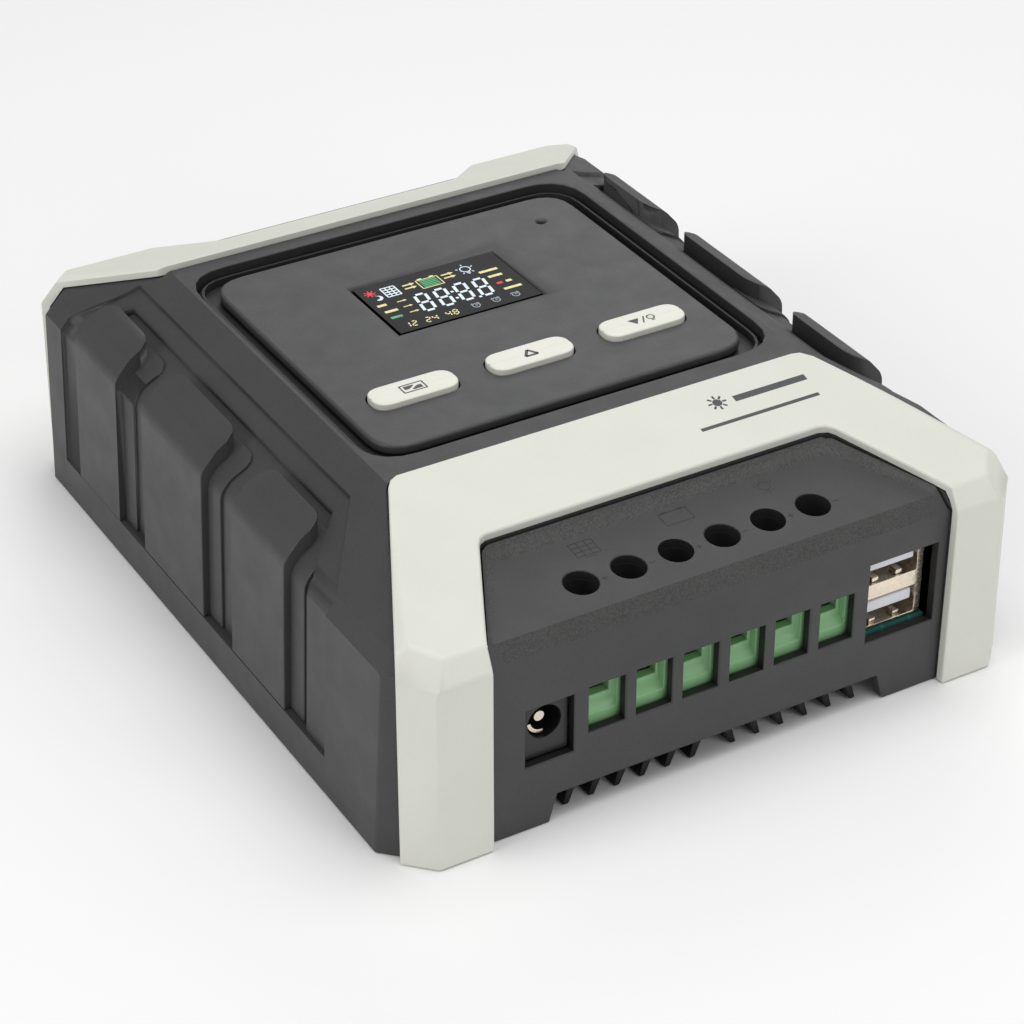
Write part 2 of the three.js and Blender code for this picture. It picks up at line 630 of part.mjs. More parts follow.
const boardScrew = ([x, y]) => screw(x, y, [ON_BOARD, 16.3], [9, 14.6], 2.8, 1.5);
const displayScrew = ([x, y]) => screw(x, y, [35.1, 36.6], [36.4, 42.5], 2.2, 1.1);

// ---------------------------------------------------------------- assembly
const controller = new THREE.Group();
controller.position.y = -DEPTH / 2;

function place(name, manifold, material) {
  const { vertProperties, triVerts } = manifold.getMesh();
  const geometry = new THREE.BufferGeometry();
  geometry.setAttribute('position', new THREE.BufferAttribute(vertProperties, 3));
  geometry.setIndex(new THREE.BufferAttribute(triVerts, 1));
  geometry.computeVertexNormals();
  const mesh = new THREE.Mesh(geometry, material.clone());
  mesh.name = name;
  controller.add(mesh);
}

place('upper_housing', upperHousing(), CHARCOAL);
place('front_trim', frontTrim(), OFF_WHITE);
place('rear_trim', rearTrim(), OFF_WHITE);
place('terminal_cover', terminalCover(), CHARCOAL);
place('rear_cover', rearCover(), CHARCOAL);

place('display_panel', displayPanel(), PANEL_GREY);
place('display_window', block([-15.35, 15.35], [87.53, 106.92], [46.2, 47.4]), GLASS);
place('lcd_module', block([-20, 20], [83, 111.5], [43.6, 45.9]), GLASS);
place('lcd_backlight', block([-19, 19], [84, 110.5], [38.8, 43.3]), WHITE);
place('display_board', displayBoard(), BOARD_GREEN);
['left', 'middle', 'right'].forEach((where, i) => {
  place(`button_${where}`, button(i - 1), OFF_WHITE);
  place(`switch_${where}`, tactSwitch(i - 1), BLACK);
});
place('status_led', statusLed(), WHITE);

place('terminal_block', terminalBlock(), TERMINAL_GREEN);
for (let i = 0; i < TERMINALS; i++) {
  place(`terminal_screw_${i + 1}`, terminalScrew(i), STEEL);
  place(`wire_clamp_${i + 1}`, wireClamp(i), STEEL);
}
place('usb_shell', usbShell(), STEEL);
place('usb_tongue_upper', usbTongue('upper'), WHITE);
place('usb_tongue_lower', usbTongue('lower'), WHITE);
place('dc_jack_body', jackBody(), BLACK);
place('dc_jack_pin', jackPin(), STEEL);
place('dc_jack_spring', jackSpring(), STEEL);

place('main_board', mainBoard(), BOARD_GREEN);
place('heatsink', heatsink(), FIN_BLACK);
place('thermal_pad', block([-30, 30], [72, 112], [11.2, 12.1]), PAD_GREY);
for (let i = 0; i < 3; i++) place(`capacitor_${i + 1}`, capacitor(i), BLACK);
place('inductor_core', inductorCore(), BLACK);
place('inductor_winding', inductorWinding(), COPPER);
for (let i = 0; i < 4; i++) place(`mosfet_${i + 1}`, mosfet(i), BLACK);
place('ribbon_cable', ribbonCable(), PAD_GREY);
CASE_SCREWS.forEach((at, i) => place(`case_screw_${i + 1}`, caseScrew(at), STEEL));
BOARD_SCREWS.forEach((at, i) => place(`board_screw_${i + 1}`, boardScrew(at), STEEL));
DISPLAY_SCREWS.forEach((at, i) => place(`display_screw_${i + 1}`, displayScrew(at), STEEL));

export default controller;
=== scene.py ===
import json
import math
import bpy
import bmesh
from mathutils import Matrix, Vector


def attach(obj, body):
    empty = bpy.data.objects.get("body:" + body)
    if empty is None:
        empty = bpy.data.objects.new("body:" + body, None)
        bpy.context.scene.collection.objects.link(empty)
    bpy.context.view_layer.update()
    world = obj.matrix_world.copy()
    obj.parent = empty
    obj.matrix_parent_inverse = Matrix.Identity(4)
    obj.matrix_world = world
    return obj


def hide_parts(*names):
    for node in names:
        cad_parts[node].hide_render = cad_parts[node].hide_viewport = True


# The looks of a solar charge controller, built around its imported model. Lengths named _MM are
# in millimetres and are turned into metres by mm(). The frame's origin is under the middle of
# the object, so depths measured from the front cover's face are moved back by half the depth.
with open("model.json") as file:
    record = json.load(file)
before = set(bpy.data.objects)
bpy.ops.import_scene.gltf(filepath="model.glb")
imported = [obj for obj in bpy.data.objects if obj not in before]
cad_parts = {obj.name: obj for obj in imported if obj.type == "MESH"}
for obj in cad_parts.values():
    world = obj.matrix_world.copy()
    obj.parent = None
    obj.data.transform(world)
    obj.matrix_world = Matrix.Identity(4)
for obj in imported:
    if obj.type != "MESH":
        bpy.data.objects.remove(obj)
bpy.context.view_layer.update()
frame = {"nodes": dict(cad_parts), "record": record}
nodes = frame["nodes"]

BODY = "casing"
HALF_DEPTH_MM = 76.65


def mm(value):
    return value * 0.001


def place_mm(x, y, z):
    """A point given in millimetres, with y measured from the front cover's face."""
    return Vector((mm(x), mm(y - HALF_DEPTH_MM), mm(z)))


# ------------------------------------------------------------------ camera, light and floor
CAMERA_AT = place_mm(-239.9, -337.05, 319.82)
CAMERA_TO = place_mm(-7.33, 60.14, 20.36)
CAMERA_LENS = 103.6
CAMERA_SENSOR = 36
WORLD_STRENGTH = 0.30
FLOOR_SIZE = 6
FLOOR_DROP = 0.0002
FLOOR_COLOUR = (0.97, 0.97, 0.97, 1)
SOFTBOXES = {
    # name: (place, what it points at, size, power), in metres and watts
    "top_softbox": ((0.1, -0.1, 1.0), (0, 0, 0), 0.8, 5.6),
    "left_softbox": ((-0.95, 0.0, 0.5), (0, 0, 0.02), 0.6, 3.2),
    "front_softbox": ((0.25, -0.95, 0.5), (0, 0, 0.02), 0.6, 1.9),
    "back_softbox": ((0.75, 0.95, 0.7), (0, 0, 0.02), 0.7, 2.6),
}


def make_camera():
    data = bpy.data.cameras.new("camera")
    data.lens = CAMERA_LENS
    data.sensor_width = CAMERA_SENSOR
    data.clip_start = 0.01
    data.clip_end = 20
    camera = bpy.data.objects.new("camera", data)
    camera.location = CAMERA_AT
    camera.rotation_euler = (CAMERA_TO - CAMERA_AT).to_track_quat("-Z", "Y").to_euler()
    bpy.context.scene.collection.objects.link(camera)
    bpy.context.scene.camera = camera


def area_light(name, at, to, size, power):
    data = bpy.data.lights.new(name, "AREA")
    data.shape = "SQUARE"
    data.size = size
    data.energy = power
    light = bpy.data.objects.new(name, data)
    light.location = at
    light.rotation_euler = (Vector(to) - Vector(at)).to_track_quat("-Z", "Y").to_euler()
    bpy.context.scene.collection.objects.link(light)


def make_studio():
    world = bpy.data.worlds.new("studio")
    world.use_nodes = True
    background = world.node_tree.nodes["Background"]
    background.inputs["Color"].default_value = (1, 1, 1, 1)
    background.inputs["Strength"].default_value = WORLD_STRENGTH
    bpy.context.scene.world = world
    bpy.context.scene.view_settings.view_transform = "Standard"
    for name, (at, to, size, power) in SOFTBOXES.items():
        area_light(name, at, to, size, power)


def make_floor():
    bm = bmesh.new()
    bmesh.ops.create_grid(bm, x_segments=1, y_segments=1, size=FLOOR_SIZE)
    mesh = bpy.data.meshes.new("floor")
    bm.to_mesh(mesh)
    bm.free()
    floor = bpy.data.objects.new("floor", mesh)
    floor.location.z = -FLOOR_DROP
    bpy.context.scene.collection.objects.link(floor)
    paper = bpy.data.materials.new("paper")
    paper.use_nodes = True
    shader = paper.node_tree.nodes["Principled BSDF"]
    shader.inputs["Base Color"].default_value = FLOOR_COLOUR
    shader.inputs["Roughness"].default_value = 0.9
    mesh.materials.append(paper)


# ------------------------------------------------------------------ materials
class Nodes:
    """A short way to add and join shader nodes."""

    def __init__(self, name):
        self.material = bpy.data.materials.new(name)
        self.material.use_nodes = True
        self.tree = self.material.node_tree
        self.shader = self.tree.nodes["Principled BSDF"]
        self.coords = self.add("ShaderNodeTexCoord").outputs["Object"]

    def add(self, kind, **settings):
        node = self.tree.nodes.new(kind)
        for key, value in settings.items():
            setattr(node, key, value)
        return node

    def join(self, start, end):
        self.tree.links.new(start, end)

    def noise(self, size_mm, detail=2, roughness=0.5):
        """Noise whose lumps are about size_mm across."""
        node = self.add("ShaderNodeTexNoise")
        self.join(self.coords, node.inputs["Vector"])
        node.inputs["Scale"].default_value = 1 / mm(size_mm)
        node.inputs["Detail"].default_value = detail
        node.inputs["Roughness"].default_value = roughness
        return node.outputs["Fac"]

    def ramp(self, fac, low, high, start=0.35, end=0.65):
        node = self.add("ShaderNodeValToRGB")
        self.join(fac, node.inputs["Fac"])
        for element, position, colour in zip(node.color_ramp.elements, (start, end), (low, high)):
            element.position = position
            element.color = (*colour, 1)
        return node.outputs["Color"]

    def rescale(self, fac, low, high):
        node = self.add("ShaderNodeMapRange")
        self.join(fac, node.inputs["Value"])
        node.inputs["From Min"].default_value = 0.3
        node.inputs["From Max"].default_value = 0.7
        node.inputs["To Min"].default_value = low
        node.inputs["To Max"].default_value = high
        return node.outputs["Result"]

    def bump(self, height, distance_mm, strength=1.0, under=None):
        node = self.add("ShaderNodeBump")
        self.join(height, node.inputs["Height"])
        node.inputs["Distance"].default_value = mm(distance_mm)
        node.inputs["Strength"].default_value = strength
        if under is not None:
            self.join(under, node.inputs["Normal"])
        return node.outputs["Normal"]

    def finish(self, colour, roughness, normal=None):
        self.join(colour, self.shader.inputs["Base Color"])
        self.join(roughness, self.shader.inputs["Roughness"])
        if normal is not None:
            self.join(normal, self.shader.inputs["Normal"])
        return self.material


def shade(colour, factor):
    return tuple(min(1.0, c * factor) for c in colour)


def moulded(name, colour, roughness, grain_mm=0.35, depth_mm=0.02, mottle=0.05, grit=0.06):
    """Moulded plastic: spark-eroded grain, faint flow mottling and uneven gloss."""
    n = Nodes(name)
    flow = n.noise(14, detail=3)
    base = n.ramp(flow, shade(colour, 1 - mottle), shade(colour, 1 + mottle))
    speck = n.noise(grain_mm * 0.8, detail=1)
    tint = n.ramp(speck, (1 - grit,) * 3, (1 + grit,) * 3)
    mix = n.add("ShaderNodeMix", data_type="RGBA", blend_type="MULTIPLY")
    mix.inputs["Factor"].default_value = 1.0
    n.join(base, mix.inputs["A"])
    n.join(tint, mix.inputs["B"])
    gloss = n.rescale(n.noise(6, detail=2), roughness - 0.04, roughness + 0.05)
    normal = n.bump(n.noise(grain_mm, detail=2), depth_mm)
    return n.finish(mix.outputs["Result"], gloss, normal)


def metal(name, colour, roughness, brush_mm=0.0):
    """Plated or anodised metal, with fine brushing along y when brush_mm is given."""
    n = Nodes(name)
    n.shader.inputs["Metallic"].default_value = 1.0
    base = n.ramp(n.noise(3, detail=3), shade(colour, 0.93), shade(colour, 1.05))
    if brush_mm:
        stretch = n.add("ShaderNodeMapping")
        stretch.inputs["Scale"].default_value = (1, 0.04, 1)
        n.join(n.coords, stretch.inputs["Vector"])
        lines = n.add("ShaderNodeTexNoise")
        lines.inputs["Scale"].default_value = 1 / mm(brush_mm)
        n.join(stretch.outputs["Vector"], lines.inputs["Vector"])
        height = lines.outputs["Fac"]
    else:
        height = n.noise(0.6, detail=2)
    gloss = n.rescale(height, max(0.05, roughness - 0.06), roughness + 0.08)
    return n.finish(base, gloss, n.bump(height, 0.006))


def circuit_board(name):
    """Solder mask with faint copper tracks under it."""
    n = Nodes(name)
    tracks = n.add("ShaderNodeTexBrick")
    n.join(n.coords, tracks.inputs["Vector"])
    tracks.inputs["Scale"].default_value = 1 / mm(12)
    tracks.inputs["Color1"].default_value = (0.035, 0.15, 0.125, 1)
    tracks.inputs["Color2"].default_value = (0.03, 0.13, 0.11, 1)
    tracks.inputs["Mortar"].default_value = (0.05, 0.22, 0.18, 1)
    tracks.inputs["Mortar Size"].default_value = 0.03
    gloss = n.rescale(n.noise(2), 0.28, 0.4)
    return n.finish(tracks.outputs["Color"], gloss, n.bump(tracks.outputs["Fac"], 0.02))


def glass_black(name):
    n = Nodes(name)
    base = n.ramp(n.noise(5), (0.004, 0.004, 0.005), (0.007, 0.007, 0.008))
    gloss = n.rescale(n.noise(8), 0.1, 0.16)
    n.shader.inputs["Specular IOR Level"].default_value = 0.06
    return n.finish(base, gloss)


def lit(name, colour, strength):
    """A lit display segment; its glow is a little uneven."""
    n = Nodes(name)
    glow = n.ramp(n.noise(0.8), shade(colour, 0.85), colour)
    n.join(glow, n.shader.inputs["Emission Color"])
    n.shader.inputs["Emission Strength"].default_value = strength
    gloss = n.rescale(n.noise(2), 0.4, 0.5)
    return n.finish(n.ramp(n.noise(1.1), shade(colour, 0.1), shade(colour, 0.12)), gloss)


def winding(name):
    """Wound copper wire: fine turns stacked along z."""
    n = Nodes(name)
    wave = n.add("ShaderNodeTexWave", bands_direction="Z")
    n.join(n.coords, wave.inputs["Vector"])
    wave.inputs["Scale"].default_value = 0.16 / mm(0.8)
    n.shader.inputs["Metallic"].default_value = 1.0
    base = n.ramp(wave.outputs["Fac"], (0.3, 0.1, 0.04), (0.72, 0.33, 0.14), 0.1, 0.6)
    return n.finish(base, n.rescale(n.noise(1), 0.3, 0.4), n.bump(wave.outputs["Fac"], 0.15))


MATERIALS = {
    "housing_plastic": moulded("housing", (0.048, 0.048, 0.049), 0.52, 0.5, 0.035),
    "cover_plastic": moulded("cover", (0.046, 0.046, 0.047), 0.5, 0.5, 0.02),
    "panel_plastic": moulded("panel", (0.060, 0.0605, 0.062), 0.5, 0.45, 0.025),
    "trim_plastic": moulded("trim", (0.73, 0.735, 0.665), 0.42, 0.6, 0.006, 0.012, 0.008),
    "button_plastic": moulded("key_cap", (0.76, 0.76, 0.68), 0.35, 0.6, 0.005, 0.012, 0.008),
    "black_plastic": moulded("black_plastic", (0.012, 0.012, 0.013), 0.35, 0.5, 0.01),
    "white_plastic": moulded("white_plastic", (0.80, 0.82, 0.86), 0.35, 0.5, 0.005, 0.012, 0.008),
    "terminal_plastic": moulded("terminal", (0.30, 0.58, 0.29), 0.34, 0.5, 0.005, 0.02, 0.01),
    "window_clear": glass_black("window"),
    "lcd_glass": glass_black("lcd"),
    "board_green": circuit_board("board"),
    "bright_steel": metal("bright_steel", (0.80, 0.70, 0.58), 0.22),
    "screw_steel": metal("screw_steel", (0.30, 0.30, 0.31), 0.5),
    "fin_metal": metal("fins", (0.035, 0.035, 0.037), 0.42, 0.3),
    "copper": winding("winding"),
    "pad_grey": moulded("pad", (0.30, 0.33, 0.36), 0.8, 0.8, 0.05),
    "ribbon": moulded("ribbon", (0.45, 0.46, 0.48), 0.5, 0.4, 0.02),
}
COARSE = moulded("cover_coarse", (0.049, 0.049, 0.048), 0.6, 0.4, 0.12, 0.05, 0.28)
# Painted shade: the moat round the display panel is coloured darker than the housing, where shade
# falls.
MOAT_PAINTED_SHADE = moulded("moat", (0.024, 0.024, 0.025), 0.5, 0.5, 0.02)
# Painted shadow: near black for the walls of the covers' windows and screwdriver holes and for the
# tubes under the holes.
SHADOW_BLACK = moulded("painted_shadow_black", (0.010, 0.010, 0.010), 0.6, 0.5, 0.01)
INK = moulded("ink", (0.070, 0.073, 0.078), 0.5, 0.4, 0.004)
# Painted shade: the moulded outlines on the cover are coloured darker than the cover, for the shade
# in their grooves.
DEBOSS_PAINTED_SHADE = moulded("deboss_painted_shade", (0.026, 0.026, 0.027), 0.6, 0.4, 0.02)
LIT_WHITE = lit("lit_white", (0.80, 0.92, 1.0), 0.95)
LIT_YELLOW = lit("lit_yellow", (0.95, 0.86, 0.42), 0.85)
LIT_RED = lit("lit_red", (0.85, 0.03, 0.05), 0.9)
LIT_GREEN = lit("lit_green", (0.10, 0.50, 0.22), 0.8)
LIT_DIM = lit("lit_dim", (0.48, 0.55, 0.62), 0.7)


# ------------------------------------------------------------------ mesh helpers
def new_piece(name, bm, material, body=BODY):
    mesh = bpy.data.meshes.new(name)
    bm.to_mesh(mesh)
    bm.free()
    piece = bpy.data.objects.new(name, mesh)
    bpy.context.scene.collection.objects.link(piece)
    mesh.materials.append(material)
    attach(piece, body)
    return piece


def smooth(piece, angle=32):
    """Shade smooth, sharp above the angle, with flat faces kept flat."""
    mesh = piece.data
    mesh.polygons.foreach_set("use_smooth", [True] * len(mesh.polygons))
    mesh.set_sharp_from_angle(angle=math.radians(angle))
    weighted = piece.modifiers.new("weighted", "WEIGHTED_NORMAL")
    weighted.keep_sharp = True
    weighted.weight = 80
    return piece


def node_mesh(node):
    """A copy of a node's mesh with its flat faces joined up."""
    bm = bmesh.new()
    bm.from_mesh(nodes[node].data)
    bmesh.ops.remove_doubles(bm, verts=bm.verts, dist=mm(0.003))
    bmesh.ops.dissolve_limit(bm, angle_limit=math.radians(0.4), verts=bm.verts, edges=bm.edges)
    bmesh.ops.recalc_face_normals(bm, faces=bm.faces)
    return bm


def turn(edge):
    """Degrees between an edge's two faces; positive where the edge is convex."""
    if len(edge.link_faces) != 2:
        return 0
    return math.degrees(edge.calc_face_angle_signed(0))


def connected(edges):
    """The edges in groups that touch each other, always in the same order."""
    waiting = dict.fromkeys(edges)
    groups = []
    while waiting:
        group = [next(iter(waiting))]
        del waiting[group[0]]
        for edge in group:
            for vert in edge.verts:
                for other in vert.link_edges:
                    if other in waiting:
                        del waiting[other]
                        group.append(other)
        groups.append(group)
    return groups


def soften(bm, width_mm, pick, segments=3, clamp=True):
    """Round the picked edges; each group of touching edges is clamped on its own."""
    bm.normal_update()
    chosen = [e for e in bm.edges if len(e.link_faces) == 2 and pick(e)]
    for group in connected(chosen):
        bmesh.ops.bevel(bm, geom=[e for e in group if e.is_valid], offset=mm(width_mm),
                        offset_type="OFFSET", segments=segments, profile=0.5,
                        affect="EDGES", clamp_overlap=clamp, loop_slide=True)
    bmesh.ops.remove_doubles(bm, verts=bm.verts, dist=mm(0.002))


def rounded_copy(node, name, slot, width_mm, segments=2, angle=35, body=BODY, clamp=True):
    """A node's shape with every outward edge rounded."""
    bm = node_mesh(node)
    soften(bm, width_mm, lambda e: turn(e) > angle, segments, clamp)
    piece = new_piece(name, bm, MATERIALS[slot], body)
    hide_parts(node)
    return smooth(piece)


# ------------------------------------------------------------------ casing
MOAT_HALF_MM = 42.7
MOAT_FROM_MM = 46.9
MOAT_TO_MM = 125.4
MOAT_FLOOR_MM = 45
DECK_MM = 49.0
HOUSING_FOLD_MM = 1.3
HOUSING_EDGE_MM = 0.28
TRIM_FOLD_MM = 0.8         # soft folds between the trims' faces
TRIM_EDGE_MM = 0.5
TRIM_SHORTEST_MM = 1.0     # shorter edges are merged before rounding
FRONT_ARCH_HALF_MM = 47.7  # half the width of the opening in each trim
REAR_ARCH_HALF_MM = 37.8
FRONT_LIP_MM = 1.5         # the soft lip of each opening
REAR_LIP_MM = 0.4
ARCH_DEPTH_MM = (45, 70)   # the wall across an opening is no further out than the second
COVER_EDGE_MM = 0.3
CHEEK_MM = 44.2            # the coarse band on the cover's bevel stops here
TERMINALS = 6
TERMINAL_PITCH_MM = 9.5
WELL_X_MM = [TERMINAL_PITCH_MM * (k - (TERMINALS - 1) / 2) for k in range(TERMINALS)]
WELL_Y_MM = 9.2
WELL_Z_MM = (34.8, 38.9)
WELL_INNER_MM = 3.2
WELL_OUTER_MM = 4.0
WELL_SIDES = 40
WELL_REACH_MM = 3.3        # faces nearer than this to a hole's axis belong to the hole


def make_housing():
    """The shell, with the moat round the display panel in a darker colour, as painted shade in the
    sunken ring.
    """
    bm = node_mesh("upper_housing")
    soften(bm, HOUSING_FOLD_MM, lambda e: 18 < turn(e) < 50, 3)
    soften(bm, HOUSING_EDGE_MM, lambda e: turn(e) > 50, 2)
    bm.normal_update()
    for face in bm.faces:
        centre = face.calc_center_median() * 1000
        depth = centre.y + HALF_DEPTH_MM
        sunk = MOAT_FLOOR_MM < centre.z < DECK_MM - 0.35
        if sunk and abs(centre.x) < MOAT_HALF_MM and MOAT_FROM_MM < depth < MOAT_TO_MM:
            # painted shade on the moat's sunken faces
            face.material_index = 1
    piece = new_piece("housing_shell", bm, MATERIALS["housing_plastic"])
    piece.data.materials.append(MOAT_PAINTED_SHADE)
    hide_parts("upper_housing")
    return smooth(piece)


def on_arch(face, half_mm):
    """True for the walls of the opening that a trim leaves around its cover."""
    centre = face.calc_center_median() * 1000
    upright = abs(face.normal.z) < 0.1 and abs(centre.x) < half_mm
    inwards = face.normal.x * centre.x < -1.0
    crossing = face.normal.y * centre.y > ARCH_DEPTH_MM[0] and abs(centre.y) < ARCH_DEPTH_MM[1]
    return upright and (inwards or crossing)


def on_outside(face):
    """True for the faces of a trim that can be seen: its top, slants and upright front."""
    centre = face.calc_center_median() * 1000
    ends = abs(centre.y) > HALF_DEPTH_MM and face.normal.y * centre.y > 0
    return face.normal.z > 0.1 or ends


def make_trim(node, name, half_mm, lip_mm):
    """An end trim with soft folds and a soft lip round the opening for its cover."""
    bm = node_mesh(node)
    bmesh.ops.remove_doubles(bm, verts=bm.verts, dist=mm(TRIM_SHORTEST_MM))
    bm.normal_update()

    def on_fold(edge):
        return 8 < turn(edge) < 60 and all(on_outside(face) for face in edge.link_faces)

    def along_arch(edge):
        walls = [on_arch(face, half_mm) for face in edge.link_faces]
        return sum(walls) == 1 and on_outside(edge.link_faces[walls.index(False)])

    soften(bm, TRIM_FOLD_MM, on_fold, 4)
    soften(bm, lip_mm, lambda e: turn(e) > 50 and along_arch(e), 5)
    soften(bm, TRIM_EDGE_MM, lambda e: turn(e) > 60, 3)
    piece = new_piece(name, bm, MATERIALS["trim_plastic"])
    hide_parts(node)
    return smooth(piece)


def facing(face, normals):
    """True where a face looks the way of any of the given directions."""
    return any(face.normal.angle(normal) < math.radians(5) for normal in normals)


def is_window_wall(face):
    """True for the faces inside the holes in a cover's upright wall."""
    centre = face.calc_center_median() * 1000
    depth = HALF_DEPTH_MM - abs(centre.y)
    in_wall = 0.2 < depth < 2.2 and 13 < centre.z < 32.5 and abs(centre.x) < 46
    return in_wall and abs(face.normal.y) < 0.1


def is_well_wall(face):
    """True for the faces inside the round screwdriver holes."""
    centre = face.calc_center_median() * 1000
    depth = centre.y + HALF_DEPTH_MM
    in_line = abs(depth - WELL_Y_MM) < WELL_REACH_MM and centre.z > 36
    in_hole = any(abs(centre.x - x) < WELL_REACH_MM for x in WELL_X_MM)
    return in_line and in_hole and abs(face.normal.z) < 0.2


def add_tube(bm, x, y, inner, outer, low, high, sides):
    """An upright tube, as rings of points joined by faces."""
    rings = []
    for radius, z in ((inner, low), (outer, low), (outer, high), (inner, high)):
        circle = around((x, y), radius, sides)
        rings.append([bm.verts.new(place_mm(*point, z)) for point in circle])
    for ring_a, ring_b in zip(rings, rings[1:] + rings[:1]):
        for k in range(sides):
            after = (k + 1) % sides
            bm.faces.new((ring_a[k], ring_a[after], ring_b[after], ring_b[k]))


def make_wells():
    """A short black tube under each screwdriver hole, standing over the terminal strip; its black
    is painted shadow that darkens the hole.
    """
    bm = bmesh.new()
    for x in WELL_X_MM:
        add_tube(bm, x, WELL_Y_MM, WELL_INNER_MM, WELL_OUTER_MM, *WELL_Z_MM, WELL_SIDES)
    bmesh.ops.recalc_face_normals(bm, faces=bm.faces)
    # the tubes carry the painted shadow black
    piece = new_piece("screw_well_shadow_tubes", bm, SHADOW_BLACK)
    smooth(piece)


def make_cover(node, name, outwards):
    """A cover with a coarse band on its bevel and, on the front one, on the pocket's rims; the
    walls of its windows and screwdriver holes are near black as painted shadow.
    """
    bevel = [Vector((0, outwards * 3.7, 2.49))]
    rims = [Vector((0.809, -0.588, 1)), Vector((-0.809, -0.588, 1)), Vector((0, -1, 1))]
    bm = node_mesh(node)
    soften(bm, COVER_EDGE_MM, lambda e: turn(e) > 20, 2)
    for side in (-1, 1):
        bm.normal_update()
        band = [face for face in bm.faces if facing(face, bevel)]
        borders = dict.fromkeys(part for face in band for part in (*face.verts, *face.edges))
        bmesh.ops.bisect_plane(bm, geom=[*band, *borders], plane_co=(side * mm(CHEEK_MM), 0, 0),
                               plane_no=(1, 0, 0))
    bm.normal_update()
    for face in bm.faces:
        middle = abs(face.calc_center_median().x) < mm(CHEEK_MM)
        if facing(face, rims) or (middle and facing(face, bevel)):
            face.material_index = 1
        # painted shadow on the walls of the windows and of the screwdriver holes
        elif is_window_wall(face) or is_well_wall(face):
            face.material_index = 2
    piece = new_piece(name, bm, MATERIALS["cover_plastic"])
    piece.data.materials.append(COARSE)
    piece.data.materials.append(SHADOW_BLACK)
    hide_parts(node)
    return smooth(piece)


# ------------------------------------------------------------------ sockets
def lump(bm, low, high, bevel):
    """A small rounded block between two corners, for a pressed contact."""
    part = bmesh.ops.create_cube(bm, size=1)
    for vert in part["verts"]:
        share = vert.co + Vector((0.5, 0.5, 0.5))
        vert.co = Vector([a + (b - a) * t for a, b, t in zip(low, high, share)])
    edges = dict.fromkeys(edge for vert in part["verts"] for edge in vert.link_edges)
    bmesh.ops.bevel(bm, geom=list(edges), offset=mm(bevel), segments=2, profile=0.5,
                    affect="EDGES")


USB_FLOORS_MM = (14.8, 23.7)
CONTACTS_X_MM = (34.2, 39.4)
CONTACT_DEPTH_MM = (3.3, 5.4)
CONTACT_HALF_MM = 0.75
CONTACT_HEIGHT_MM = 1.1
CONTACT_EDGE_MM = 0.25


def make_usb_contacts():
    """Two pressed spring contacts on the floor of each USB opening."""
    bm = bmesh.new()
    near, far = CONTACT_DEPTH_MM
    for floor_mm in USB_FLOORS_MM:
        for x in CONTACTS_X_MM:
            low = place_mm(x - CONTACT_HALF_MM, near, floor_mm)
            high = place_mm(x + CONTACT_HALF_MM, far, floor_mm + CONTACT_HEIGHT_MM)
            lump(bm, low, high, CONTACT_EDGE_MM)
    piece = new_piece("usb_contacts", bm, MATERIALS["bright_steel"])
    smooth(piece)


# ------------------------------------------------------------------ printed and lit marks
def stroke(a, b, width):
    """The outline of a straight bar from a to b."""
    start, end = Vector(a), Vector(b)
    across = (end - start).orthogonal().normalized() * width / 2
    return [start - across, end - across, end + across, start + across]


def strokes(points, width, closed=False):
    """Straight bars from each point to the next."""
    ends = points[1:] + points[:1] if closed else points[1:]
    return [stroke(a, b, width) for a, b in zip(points, ends)]


def around(centre, radius, count, turned=0.0):
    """Points evenly spaced on a circle."""
    x, y = centre
    angles = [turned + math.tau * k / count for k in range(count)]
    return [(x + radius * math.cos(t), y + radius * math.sin(t)) for t in angles]


def ring(centre, radius, width, count=16):
    return strokes(around(centre, radius, count), width, closed=True)


def box_outline(centre, width, height, line):
    x, y = centre
    half, rise = width / 2, height / 2
    corners = [(x - half, y - rise), (x + half, y - rise),
               (x + half, y + rise), (x - half, y + rise)]
    return strokes(corners, line, closed=True)


def bar(centre, width, height):
    x, y = centre
    return [stroke((x - width / 2, y), (x + width / 2, y), height)]


def arrow(centre, length, line):
    """An arrow that points along +x."""
    x, y = centre
    tip, neck = x + length / 2, x + length / 2 - line * 2.4
    head = [Vector((neck, y - line * 1.3)), Vector((tip, y)), Vector((neck, y + line * 1.3))]
    return [stroke((x - length / 2, y), (neck, y), line), head]


def rays(centre, start, end, count, line, turned=0.0):
    """Short bars that point away from a centre."""
    inner = around(centre, start, count, turned)
    outer = around(centre, end, count, turned)
    return [stroke(a, b, line) for a, b in zip(inner, outer)]


def sun(centre, radius, line):
    return [[Vector(p) for p in around(centre, radius * 0.5, 12)],
            *rays(centre, radius * 0.55, radius, 8, line)]


def arc(centre, radius, degrees):
    """Points on a circle at the given angles."""
    x, y = centre
    turns = [math.radians(angle) for angle in degrees]
    return [Vector((x + radius * math.cos(t), y + radius * math.sin(t))) for t in turns]


def crescent(centre, radius):
    x, y = centre
    outer = arc(centre, radius, range(-130, 91, 20))
    inner = arc((x - radius * 0.35, y + radius * 0.3), radius * 0.8, range(80, -116, -20))
    return [outer + inner]


def grid(centre, width, height, columns, rows, line):
    x, y = centre
    left, low = x - width / 2, y - height / 2
    upright = [left + width * k / columns for k in range(1, columns)]
    level = [low + height * k / rows for k in range(1, rows)]
    inside = [stroke((u, low), (u, low + height), line) for u in upright]
    inside += [stroke((left, v), (left + width, v), line) for v in level]
    return box_outline(centre, width, height, line) + inside


def bulb(centre, radius, line):
    x, y = centre
    base = y - radius * 1.35
    shapes = ring(centre, radius, line, 14)
    shapes += bar((x, base), radius * 0.8, line) + bar((x, base - radius * 0.4), radius * 0.5, line)
    shapes += rays(centre, radius * 1.4, radius * 1.85, 5, line, math.radians(18))
    return shapes


